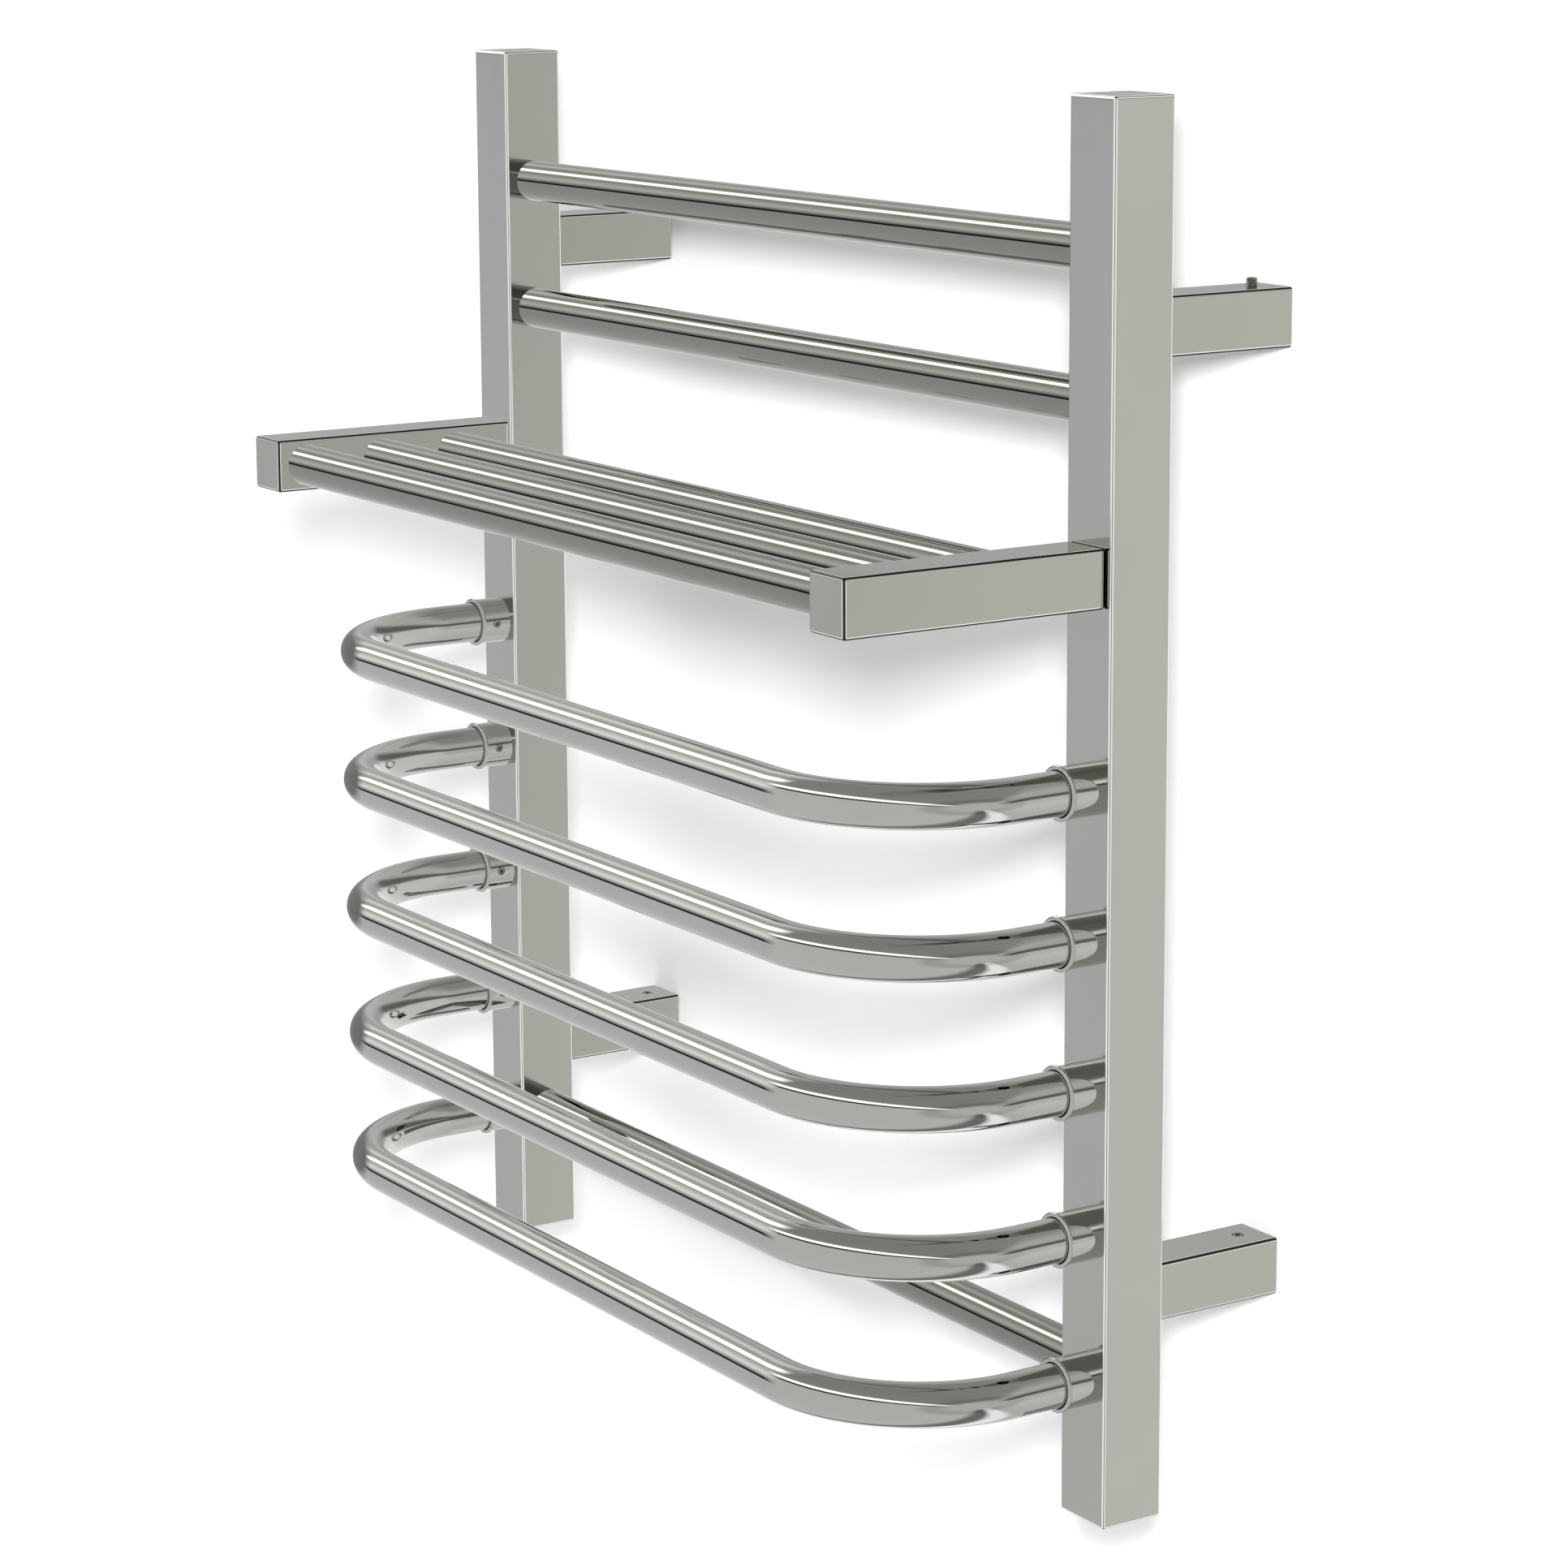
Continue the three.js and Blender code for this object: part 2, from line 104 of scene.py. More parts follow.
UP = Vector((0, 0, 1))
BACK = Vector((0, 1, 0))
RIGHT = Vector((1, 0, 0))

SIDES = {"left": -1, "right": 1}
LEVELS = ("upper", "lower")
RAIL_NUMBERS = range(1, 6)
CROSS_BARS = ("top_bar", "second_bar", "lower_bar")
SHELF_BARS = ("front", "middle", "rear")

# Pieces that do not show in the polish of their neighbours, as in the photo.
NOT_MIRRORED = {"left_post", "left_shelf_arm"}
for name in SHELF_BARS:
    NOT_MIRRORED |= {f"{name}_shelf_bar", f"{name}_shelf_element"}
for number in RAIL_NUMBERS:
    NOT_MIRRORED |= {f"curved_rail_{number}", f"curved_rail_element_{number}"}

NODE_BODY = {
    node: body
    for body, nodes in frame["record"]["behaviour"]["bodies"].items()
    for node in nodes
}

# ---- Camera -----------------------------------------------------------------------------------------

CAMERA_PLACE = Vector((2.1628, -1.5143, 0.5177))
CAMERA_YAW = 57.01
CAMERA_PITCH = -10.49
CAMERA_ROLL = -0.29
CAMERA_LENS = 100.58
CAMERA_SENSOR = 36
CAMERA_SHIFT_Y = -0.0802
CAMERA_NEAREST = 0.05
CAMERA_FARTHEST = 200


def add_camera():
    data = bpy.data.cameras.new("camera")
    data.lens = CAMERA_LENS
    data.sensor_width = CAMERA_SENSOR
    data.shift_y = CAMERA_SHIFT_Y
    data.clip_start = CAMERA_NEAREST
    data.clip_end = CAMERA_FARTHEST
    camera = bpy.data.objects.new("camera", data)
    upright = Matrix.Rotation(math.radians(CAMERA_YAW), 4, "Z")
    tilt = Matrix.Rotation(math.radians(90 + CAMERA_PITCH), 4, "X")
    roll = Matrix.Rotation(math.radians(CAMERA_ROLL), 4, "Z")
    camera.matrix_world = Matrix.Translation(CAMERA_PLACE) @ upright @ tilt @ roll
    bpy.context.scene.collection.objects.link(camera)
    bpy.context.scene.camera = camera


# ---- Material helpers -------------------------------------------------------------------------------

EDGE_SAMPLES = 4


def add_node(tree, kind, **inputs):
    """A shader node with its unlinked inputs set; an underscore in a name stands for a space."""
    node = tree.nodes.new(kind)
    for name, value in inputs.items():
        node.inputs[name.replace("_", " ")].default_value = value
    return node


def new_material(name):
    material = bpy.data.materials.new(name)
    material.use_nodes = True
    tree = material.node_tree
    shader = tree.nodes["Principled BSDF"]
    return material, tree, shader


def stretched_noise(tree, stretch, scale, detail=2.0, roughness=0.5):
    """Noise at a real scale: scale is in cells per metre, times stretch along each axis."""
    place = add_node(tree, "ShaderNodeTexCoord")
    mapping = add_node(tree, "ShaderNodeMapping")
    mapping.inputs["Scale"].default_value = stretch
    noise = add_node(tree, "ShaderNodeTexNoise", Scale=scale, Detail=detail, Roughness=roughness)
    tree.links.new(place.outputs["Object"], mapping.inputs["Vector"])
    tree.links.new(mapping.outputs["Vector"], noise.inputs["Vector"])
    return noise.outputs["Fac"]


def remap(tree, value, low, high, start=0.3, end=0.7):
    """The value's middle range, from start to end, spread over low to high."""
    spread = add_node(tree, "ShaderNodeMapRange")
    spread.inputs["From Min"].default_value = start
    spread.inputs["From Max"].default_value = end
    spread.inputs["To Min"].default_value = low
    spread.inputs["To Max"].default_value = high
    tree.links.new(value, spread.inputs["Value"])
    return spread.outputs["Result"]


def arithmetic(tree, operation, first, second):
    node = add_node(tree, "ShaderNodeMath")
    node.operation = operation
    for socket, value in zip(node.inputs, (first, second)):
        if isinstance(value, (int, float)):
            socket.default_value = value
        else:
            tree.links.new(value, socket)
    return node.outputs["Value"]


def mix_colours(tree, share, first, second):
    """The first colour where share is 0, the second where it is 1; each is a colour or a socket."""
    mix = tree.nodes.new("ShaderNodeMix")
    mix.data_type = "RGBA"
    for name, colour in (("A", first), ("B", second)):
        if isinstance(colour, tuple):
            mix.inputs[name].default_value = (*colour, 1)
        else:
            tree.links.new(colour, mix.inputs[name])
    tree.links.new(share, mix.inputs["Factor"])
    return mix.outputs["Result"]


def mix_shaders(tree, share, first, second):
    """The first shader where share is 0, the second where it is 1."""
    mix = tree.nodes.new("ShaderNodeMixShader")
    tree.links.new(share, mix.inputs["Fac"])
    tree.links.new(first, mix.inputs[1])
    tree.links.new(second, mix.inputs[2])
    return mix.outputs["Shader"]


def chain_bump(tree, height, distance, before=None):
    bump = add_node(tree, "ShaderNodeBump", Strength=1.0, Distance=distance)
    tree.links.new(height, bump.inputs["Height"])
    if before is not None:
        tree.links.new(before, bump.inputs["Normal"])
    return bump.outputs["Normal"]


def edge_share(tree, radius):
    """About 0 on open faces, rising where the surface turns within the given radius."""
    rounded = add_node(tree, "ShaderNodeBevel", Radius=radius)
    rounded.samples = EDGE_SAMPLES
    geometry = tree.nodes.new("ShaderNodeNewGeometry")
    dot = tree.nodes.new("ShaderNodeVectorMath")
    dot.operation = "DOT_PRODUCT"
    tree.links.new(rounded.outputs["Normal"], dot.inputs[0])
    tree.links.new(geometry.outputs["Normal"], dot.inputs[1])
    return remap(tree, dot.outputs["Value"], 1.0, 0.0, start=0.75, end=0.98)


# ---- Materials --------------------------------------------------------------------------------------

# How the noise of a surface is stretched: evenly, into marks along one axis, or into turning marks.
EVEN = (1, 1, 1)
ALONG = {"x": (0.04, 1, 1), "y": (1, 0.04, 1), "z": (1, 1, 0.04)}
SCREW_TURNING = (1, 1, 6)
CAN_TURNING = (1, 8, 1)

# One polished steel in lighter and darker copies, each set to how bright that part looks: the bars' copy,
# about half as bright as the others, is painted shade, and the arms' copy is a little darker than the
# posts'.
POST_STEEL = (0.427, 0.424, 0.386)
ARM_STEEL = (0.404, 0.399, 0.354)
BAR_STEEL_PAINTED_SHADE = (0.238, 0.236, 0.214)
RAIL_STEEL = (0.440, 0.438, 0.418)
# Painted reflections on the rounded edges of square tube: a dark line down each edge and a highlight on
# both sides of it.
PAINTED_EDGE_DARK_LINE = (0.030, 0.030, 0.028)
PAINTED_EDGE_HIGHLIGHT = (0.900, 0.900, 0.880)
FACE_HAZE = 0.08
CLOUD_DARKENING = 0.96
CLEAN_ROUGHNESS = 0.018
SMUDGED_ROUGHNESS = 0.06
HAIRLINE_ROUGHNESS = 0.02
HAIRLINE_HEIGHT = 0.0000006
WAVE_HEIGHT = 0.00004

# Places of the painted dark lines and painted highlights on the rounded edges of square tube, by the
# largest part of the normal.
POST_EDGES = {"line": (0.73, 0.81), "painted_highlight": (0.955, 0.995)}
ARM_EDGES = {"line": (0.90, 0.955), "painted_highlight": (0.985, 0.998)}

# Each pair is the darkest and the lightest tone.
SCREW_TONES = ((0.20, 0.19, 0.17), (0.34, 0.33, 0.31))
PLUG_TONES = ((0.42, 0.43, 0.44), (0.55, 0.56, 0.57))
CUTOUT_TONES = ((0.50, 0.50, 0.48), (0.62, 0.62, 0.60))
SILICONE_TONES = ((0.20, 0.035, 0.025), (0.27, 0.05, 0.035))
RUBBER_TONES = ((0.012, 0.012, 0.013), (0.02, 0.02, 0.021))
PLASTIC_TONES = ((0.72, 0.67, 0.56), (0.80, 0.76, 0.66))


def painted_edge_lines(tree, tint, edges):
    """Painted reflections down the rounded edges of square tube: a painted dark line, with a painted
    highlight on both sides of it.

    Both are placed by the largest part of the normal: 1 on a flat face, 0.71 half way round an edge.
    """
    place = tree.nodes.new("ShaderNodeTexCoord")
    size = tree.nodes.new("ShaderNodeVectorMath")
    size.operation = "ABSOLUTE"
    split = tree.nodes.new("ShaderNodeSeparateXYZ")
    tree.links.new(place.outputs["Normal"], size.inputs[0])
    tree.links.new(size.outputs["Vector"], split.inputs["Vector"])
    widest = arithmetic(tree, "MAXIMUM", split.outputs["X"], split.outputs["Y"])
    widest = arithmetic(tree, "MAXIMUM", widest, split.outputs["Z"])
    # Painted highlight on both sides of each edge, then the painted dark line down its middle.
    edge_rub_and_painted_highlight = mix_colours(tree, remap(tree, widest, 0, 1, *edges["painted_highlight"]), PAINTED_EDGE_HIGHLIGHT, tint)
    return mix_colours(tree, remap(tree, widest, 0, 1, *edges["line"]), PAINTED_EDGE_DARK_LINE, edge_rub_and_painted_highlight)


def polished_steel(name, colour, along, edges=None):
    """Mirror polish: faint waves from the polishing wheel, hairline buffing marks and thin smudges.

    The flat faces of square tube carry a light haze, because a wheel can't polish them as round tube.
    """
    haze = FACE_HAZE if edges else 0
    material, tree, shader = new_material(name)
    cloud = stretched_noise(tree, EVEN, scale=9.0, detail=3.0)
    smudges = stretched_noise(tree, EVEN, scale=34.0, detail=5.0, roughness=0.65)
    hairlines = stretched_noise(tree, ALONG[along], scale=1900.0, detail=2.0)
    waves = stretched_noise(tree, EVEN, scale=22.0, detail=1.0)
    darker = tuple(channel * CLOUD_DARKENING for channel in colour)
    tint = mix_colours(tree, remap(tree, cloud, 0, 1), darker, colour)
    # Square tube gets painted dark lines and painted highlights down its rounded edges.
    if edges:
        tint = painted_edge_lines(tree, tint, edges)
    tree.links.new(tint, shader.inputs["Base Color"])
    shader.inputs["Metallic"].default_value = 1.0
    film = remap(tree, smudges, haze + CLEAN_ROUGHNESS, haze + SMUDGED_ROUGHNESS, start=0.45, end=0.8)
    marks = remap(tree, hairlines, 0.0, HAIRLINE_ROUGHNESS)
    tree.links.new(arithmetic(tree, "ADD", film, marks), shader.inputs["Roughness"])
    normal = chain_bump(tree, waves, WAVE_HEIGHT)
    normal = chain_bump(tree, hairlines, HAIRLINE_HEIGHT, normal)
    tree.links.new(normal, shader.inputs["Normal"])
    return material


def screw_steel():
    """Plain steel screws: a turned surface, unevenly darkened."""
    material, tree, shader = new_material("screw_steel")
    turned = stretched_noise(tree, SCREW_TURNING, scale=2500.0, detail=3.0)
    stains = stretched_noise(tree, EVEN, scale=420.0, detail=3.0)
    tint = mix_colours(tree, remap(tree, stains, 0, 1), *SCREW_TONES)
    tree.links.new(tint, shader.inputs["Base Color"])
    shader.inputs["Metallic"].default_value = 1.0
    tree.links.new(remap(tree, turned, 0.22, 0.42), shader.inputs["Roughness"])
    tree.links.new(chain_bump(tree, turned, 0.000008), shader.inputs["Normal"])
    return material


def cast_aluminium():
    """Die-cast plugs: fine grain, mould blush, and edges rubbed smoother."""
    material, tree, shader = new_material("cast_aluminium")
    grain = stretched_noise(tree, EVEN, scale=2200.0, detail=4.0)
    blush = stretched_noise(tree, EVEN, scale=120.0, detail=3.0)
    tint = mix_colours(tree, remap(tree, blush, 0, 1), *PLUG_TONES)
    tree.links.new(tint, shader.inputs["Base Color"])
    shader.inputs["Metallic"].default_value = 1.0
    grainy = remap(tree, grain, 0.38, 0.58)
    edge_rub_and_painted_highlight = arithmetic(tree, "MULTIPLY", edge_share(tree, 0.001), -0.15)
    tree.links.new(arithmetic(tree, "ADD", grainy, edge_rub_and_painted_highlight), shader.inputs["Roughness"])
    tree.links.new(chain_bump(tree, grain, 0.00003), shader.inputs["Normal"])
    return material


def moulded(name, tones, roughness, grain_scale, grain_height):
    """Rubber, silicone and plastic: fine moulded grain, uneven tone and slightly rubbed edges."""
    material, tree, shader = new_material(name)
    grain = stretched_noise(tree, EVEN, scale=grain_scale, detail=3.0)
    tone = stretched_noise(tree, EVEN, scale=90.0, detail=2.0)
    tint = mix_colours(tree, remap(tree, tone, 0, 1), *tones)
    tree.links.new(tint, shader.inputs["Base Color"])
    rough = remap(tree, grain, roughness - 0.08, roughness + 0.08)
    edge_rub_and_painted_highlight = arithmetic(tree, "MULTIPLY", edge_share(tree, 0.0008), -0.08)
    tree.links.new(arithmetic(tree, "ADD", rough, edge_rub_and_painted_highlight), shader.inputs["Roughness"])
    tree.links.new(chain_bump(tree, grain, grain_height), shader.inputs["Normal"])
    return material


def cutout_metal():
    """Drawn steel can of the thermal cut-out: fine turning marks."""
    material, tree, shader = new_material("cutout_metal")
    turned = stretched_noise(tree, CAN_TURNING, scale=1500.0, detail=3.0)
    tint = mix_colours(tree, remap(tree, turned, 0, 1), *CUTOUT_TONES)
    tree.links.new(tint, shader.inputs["Base Color"])
    shader.inputs["Metallic"].default_value = 1.0
    tree.links.new(remap(tree, turned, 0.25, 0.38), shader.inputs["Roughness"])
    tree.links.new(chain_bump(tree, turned, 0.000006), shader.inputs["Normal"])
    return material


POST_FINISH = polished_steel("polished_steel_posts", POST_STEEL, "z", POST_EDGES)
ARM_FINISH = polished_steel("polished_steel_arms", ARM_STEEL, "y", ARM_EDGES)
# The bars' steel is darkened as painted shade.
BAR_FINISH = polished_steel("polished_steel_bars", BAR_STEEL_PAINTED_SHADE, "x")
RAIL_FINISH = polished_steel("polished_steel_rails", RAIL_STEEL, "x")
SLEEVE_FINISH = polished_steel("polished_steel_sleeves", RAIL_STEEL, "y")
SCREW_FINISH = screw_steel()
PLUG_FINISH = cast_aluminium()
CUTOUT_FINISH = cutout_metal()
SILICONE = moulded("silicone_sheath", SILICONE_TONES, 0.55, grain_scale=1500.0, grain_height=0.00001)
RUBBER = moulded("black_rubber", RUBBER_TONES, 0.62, grain_scale=1800.0, grain_height=0.00002)
PLASTIC = moulded("cream_plastic", PLASTIC_TONES, 0.45, grain_scale=1200.0, grain_height=0.00001)

# ---- Mesh helpers -----------------------------------------------------------------------------------


def new_piece(name, shape):
    """Links a piece made of a bmesh whose faces are turned outwards and shaded smooth."""
    bmesh.ops.recalc_face_normals(shape, faces=shape.faces)
    mesh = bpy.data.meshes.new(name)
    shape.to_mesh(mesh)
    shape.free()
    mesh.shade_smooth()
    mesh.set_sharp_from_angle(angle=SHARP_ANGLE)
    piece = bpy.data.objects.new(name, mesh)
    bpy.context.scene.collection.objects.link(piece)
    return piece


def ring(centre, across, up, radius, sides):
    """Points round a centre; radius is a number or a function of the angle."""
    points = []
    for index in range(sides):
        angle = 2 * math.pi * index / sides
        reach = radius(angle) if callable(radius) else radius
        points.append(centre + reach * (math.cos(angle) * across + math.sin(angle) * up))
    return points


def skin(name, rings, closed):
    """Joins rings of points one after the other: into a loop, or into a solid with flat ends."""
    shape = bmesh.new()
    rows = [[shape.verts.new(point) for point in points] for points in rings]
    pairs = list(zip(rows, rows[1:]))
    if closed:
        pairs.append((rows[-1], rows[0]))
    for first, second in pairs:
        for index in range(len(first)):
            after = (index + 1) % len(first)
            shape.faces.new((first[index], first[after], second[after], second[index]))
    if not closed:
        shape.faces.new(rows[0])
        shape.faces.new(rows[-1])
    return new_piece(name, shape)


def apply_modifiers(piece):
    graph = bpy.context.evaluated_depsgraph_get()
    made = bpy.data.meshes.new_from_object(piece.evaluated_get(graph))
    piece.modifiers.clear()
    piece.data = made


def cut_away(piece, cutter):
    cut = piece.modifiers.new("cut", "BOOLEAN")
    cut.operation = "DIFFERENCE"
    cut.solver = "EXACT"
    cut.object = cutter
    apply_modifiers(piece)
    bpy.data.objects.remove(cutter)


def drill(piece, holes):
    """Cuts round holes through a wall: each has its axis, radius and centre."""
    shape = bmesh.new()
    for axis, radius, centre in holes:
        turn = axis.to_track_quat("Z", "Y").to_matrix().to_4x4()
        bmesh.ops.create_cone(
            shape, cap_ends=True, segments=CUTTER_SIDES, radius1=radius, radius2=radius,
            depth=CUT_DEPTH, matrix=Matrix.Translation(centre) @ turn,
        )
    cut_away(piece, new_piece("cutter", shape))
    piece.data.set_sharp_from_angle(angle=SHARP_ANGLE)


def flatten_normals(piece):
    """Large faces keep their own normal, so that flat mirror faces stay flat beside rounded edges."""
    weighted = piece.modifiers.new("flat_faces", "WEIGHTED_NORMAL")
    weighted.mode = "FACE_AREA"
    weighted.weight = FLAT_FACE_WEIGHT
    weighted.keep_sharp = True


def box_shape(low, high):
    shape = bmesh.new()
    bmesh.ops.create_cube(shape, size=1)
    middle, size = (low + high) / 2, high - low
    for vertex in shape.verts:
        vertex.co = middle + vertex.co * size
    return shape


def rounded_box(name, low, high, radius):
    shape = box_shape(low, high)
    bmesh.ops.bevel(
        shape, geom=shape.edges[:], offset=radius, segments=EDGE_STEPS, profile=0.5, affect="EDGES",
    )
    return new_piece(name, shape)


def square_tube(name, low, high):
    """A square tube along Y, open at both ends, with rounded long edges."""
    shape = box_shape(low, high)
    long_edges = [e for e in shape.edges if abs((e.verts[0].co - e.verts[1].co).y) > SHEET]
    bmesh.ops.bevel(
        shape, geom=long_edges, offset=EDGE_RADIUS, segments=EDGE_STEPS, profile=0.5, affect="EDGES",
    )
    shape.normal_update()
    ends = [face for face in shape.faces if abs(face.normal.y) > 0.9]
    bmesh.ops.delete(shape, geom=ends, context="FACES_ONLY")
    piece = new_piece(name, shape)
    thick = piece.modifiers.new("sheet", "SOLIDIFY")
    thick.thickness = SHEET
    thick.offset = -1
    apply_modifiers(piece)
    return piece


def soften_rims(piece, width):
    soft = piece.modifiers.new("rims", "BEVEL")
    soft.limit_method = "ANGLE"
    soft.angle_limit = RIM_ANGLE
    soft.width = width
    soft.segments = RIM_STEPS


def finish_piece(piece, node, finish):
    """Gives a piece its material and its body, and hides the CAD node that it stands for."""
    piece.data.materials.clear()
    piece.data.materials.append(finish)
    piece.visible_glossy = node not in NOT_MIRRORED
    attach(piece, NODE_BODY[node])
    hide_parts(node)


# ---- Square-tube pieces -----------------------------------------------------------------------------


def box_middle(node):
    low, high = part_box(node)
    return (low + high) / 2


def post_holes(side_name):
    """Where a post's wires pass: to its sleeves and shelf arm, to the upper bars and to the supply."""
    side = SIDES[side_name]
    low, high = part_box(f"{side_name}_post")
    in_front = [f"{side_name}_sleeve_{number}" for number in RAIL_NUMBERS]
    in_front.append(f"{side_name}_shelf_arm")
    holes = []
    for node in in_front:
        place = box_middle(node)
        holes.append((BACK, WIRE_HOLE_RADIUS, Vector((place.x, low.y, place.z))))
    inner_x = low.x if side > 0 else high.x
    for bar in ("top_bar", "second_bar"):
        place = box_middle(bar)
        holes.append((RIGHT, WIRE_HOLE_RADIUS, Vector((inner_x, place.y, place.z))))
    if side > 0:
        place = box_middle("supply_grommet")
        holes.append((BACK, SUPPLY_HOLE_RADIUS, Vector((place.x, high.y, place.z))))
    return holes


def add_post(side_name):
    """A post of bent sheet, closed at both ends."""
    node = f"{side_name}_post"
    low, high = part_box(node)
    piece = rounded_box(f"{node}_shell", low, high, EDGE_RADIUS)
    sheet = Vector((SHEET, SHEET, SHEET))
    cut_away(piece, new_piece("hollow", box_shape(low + sheet, high - sheet)))
    drill(piece, post_holes(side_name))
    flatten_normals(piece)
    finish_piece(piece, node, POST_FINISH)


def add_shelf_arm(side_name):
    node = f"{side_name}_shelf_arm"
    low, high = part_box(node)
    piece = rounded_box(f"{node}_shell", low, high, EDGE_RADIUS)
    flatten_normals(piece)
    finish_piece(piece, node, ARM_FINISH)


def add_bracket(corner):
    """A bracket, open towards the wall, with the set screw's hole in its top."""
    node = f"{corner}_bracket"
    low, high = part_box(node)
    piece = square_tube(f"{node}_shell", low, high)
    screw = box_middle(f"{corner}_set_screw")
    hole = Vector((screw.x, screw.y, high.z))
    drill(piece, [(UP, SET_SCREW_HOLE_RADIUS, hole)])
    soften_rims(piece, RIM_WIDTH)
    flatten_normals(piece)
    finish_piece(piece, node, ARM_FINISH)


# ---- Round tubes ------------------------------------------------------------------------------------


def tube(name, stations, outer, bore, sides):
    """A tube through stations, each a centre and the direction across it; a bore of 0 makes a rod."""
    outside = [ring(centre, across, UP, outer, sides) for centre, across in stations]
    if bore == 0:
        return skin(name, outside, closed=False)
    inside = [ring(centre, across, UP, bore, sides) for centre, across in reversed(stations)]
    return skin(name, outside + inside, closed=True)


def straight_stations(node, reach):
    """The two ends of a bar that lies along X, each moved out by reach."""
    low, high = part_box(node)
    middle = (low + high) / 2
    return [
        (Vector((low.x - reach, middle.y, middle.z)), BACK),
        (Vector((high.x + reach, middle.y, middle.z)), BACK),
    ]


def bow_stations(node, radius):
    """A rail's centre line: straight out from the left post, round, across and back."""
    low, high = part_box(node)
    height = (low.z + high.z) / 2
    side_x = high.x - radius
    front_y = low.y + radius
    bend_x = side_x - RAIL_BEND_RADIUS
    bend_y = front_y + RAIL_BEND_RADIUS
    half = [(Vector((-side_x, high.y, height)), RIGHT)]
    for step in range(BEND_STEPS + 1):
        angle = step / BEND_STEPS * math.pi / 2
        centre = Vector((
            -bend_x - RAIL_BEND_RADIUS * math.cos(angle),
            bend_y - RAIL_BEND_RADIUS * math.sin(angle),
            height,
        ))
        half.append((centre, Vector((math.cos(angle), math.sin(angle), 0))))
    mirrored = [
        (Vector((-centre.x, centre.y, height)), Vector((-across.x, across.y, 0)))
        for centre, across in reversed(half)
    ]
    return half + mirrored


def add_bar(node):
    piece = tube(
        f"{node}_tube", straight_stations(node, FIT_GAP), TUBE_RADIUS, TUBE_RADIUS - TUBE_WALL, TUBE_SIDES,
    )
    finish_piece(piece, node, BAR_FINISH)


def add_straight_element(node):
    piece = tube(f"{node}_sheath", straight_stations(node, 0), ELEMENT_RADIUS, 0, ELEMENT_SIDES)
    finish_piece(piece, node, SILICONE)


def add_rail(number):
    node = f"curved_rail_{number}"
    stations = bow_stations(node, TUBE_RADIUS)
    piece = tube(f"{node}_tube", stations, TUBE_RADIUS, TUBE_RADIUS - TUBE_WALL, TUBE_SIDES)
    finish_piece(piece, node, RAIL_FINISH)
    element = f"curved_rail_element_{number}"
    stations = bow_stations(element, ELEMENT_RADIUS)
    piece = tube(f"{element}_sheath", stations, ELEMENT_RADIUS, 0, ELEMENT_SIDES)
    finish_piece(piece, element, SILICONE)


# ---- Sleeves and screws -----------------------------------------------------------------------------


def arc(radius, start, end):
    """Offsets (outwards, backwards) round a quarter or half turn, from start to end in degrees."""
    angles = [math.radians(start + (end - start) * i / ARC_STEPS) for i in range(ARC_STEPS + 1)]
    return [(radius * math.cos(angle), radius * math.sin(angle)) for angle in angles]


def add_sleeve(side_name, number):
    """A sleeve turned about Y, from the post's face to a rolled lip at its front end."""
    node = f"{side_name}_sleeve_{number}"
    low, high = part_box(node)
    middle = (low + high) / 2
    grub_y = box_middle(f"{side_name}_grub_screw_{number}").y
    mouth_y = low.y + BORE_ROUNDING
    lip_y = low.y + LIP_ROLL
    back_y = high.y + FIT_GAP
    profile = [(SLEEVE_BORE, back_y), (SLEEVE_BORE, mouth_y)]
    profile += [(SLEEVE_BORE + BORE_ROUNDING + out, mouth_y + y) for out, y in arc(BORE_ROUNDING, 180, 270)]
    profile += [(SLEEVE_RADIUS + out, lip_y + y) for out, y in arc(LIP_ROLL, -90, 90)]
    profile += [(SLEEVE_RADIUS, y) for y in (grub_y - GRUB_BAND, grub_y + GRUB_BAND, back_y)]
    rings = [
        ring(Vector((middle.x, y, middle.z)), RIGHT, UP, radius, SLEEVE_SIDES)
        for radius, y in profile
    ]
    piece = skin(f"{node}_collar", rings, closed=True)
    inner_x = middle.x - SIDES[side_name] * SLEEVE_RADIUS
    hole = Vector((inner_x, grub_y, middle.z))
    drill(piece, [(RIGHT, GRUB_HOLE_RADIUS, hole)])
    finish_piece(piece, node, SLEEVE_FINISH)


def add_screw(node, top, outwards, size):
    """A headless threaded screw with a hexagon socket; top is the middle of its outer end."""
    across = outwards.orthogonal().normalized()
    up = outwards.cross(across)
    radius, length, pitch = size["radius"], size["length"], size["pitch"]

    def hexagon(angle):
        return size["flats"] / 2 / math.cos((angle % (math.pi / 3)) - math.pi / 6)

    def thread(depth):
        fade = min(1, (depth - SCREW_CHAMFER) / pitch, (length - SCREW_CHAMFER - depth) / pitch)

        def reach(angle):
            turn = depth / pitch - angle / (2 * math.pi)
            return radius - THREAD_DEPTH * max(0, fade) * (0.5 - 0.5 * math.cos(2 * math.pi * turn))

        return reach

    threaded = length - 2 * SCREW_CHAMFER
    steps = round(threaded / pitch * THREAD_STEPS)
    levels = [(SOCKET_DEPTH, hexagon), (0, hexagon), (0, radius - SCREW_CHAMFER)]
    for step in range(steps + 1):
        depth = SCREW_CHAMFER + threaded * step / steps
        levels.append((depth, thread(depth)))
    levels.append((length, radius - SCREW_CHAMFER))
    rings = [ring(top - depth * outwards, across, up, reach, SCREW_SIDES) for depth, reach in levels]
    piece = skin(f"{node}_threaded", rings, closed=False)
    finish_piece(piece, node, SCREW_FINISH)


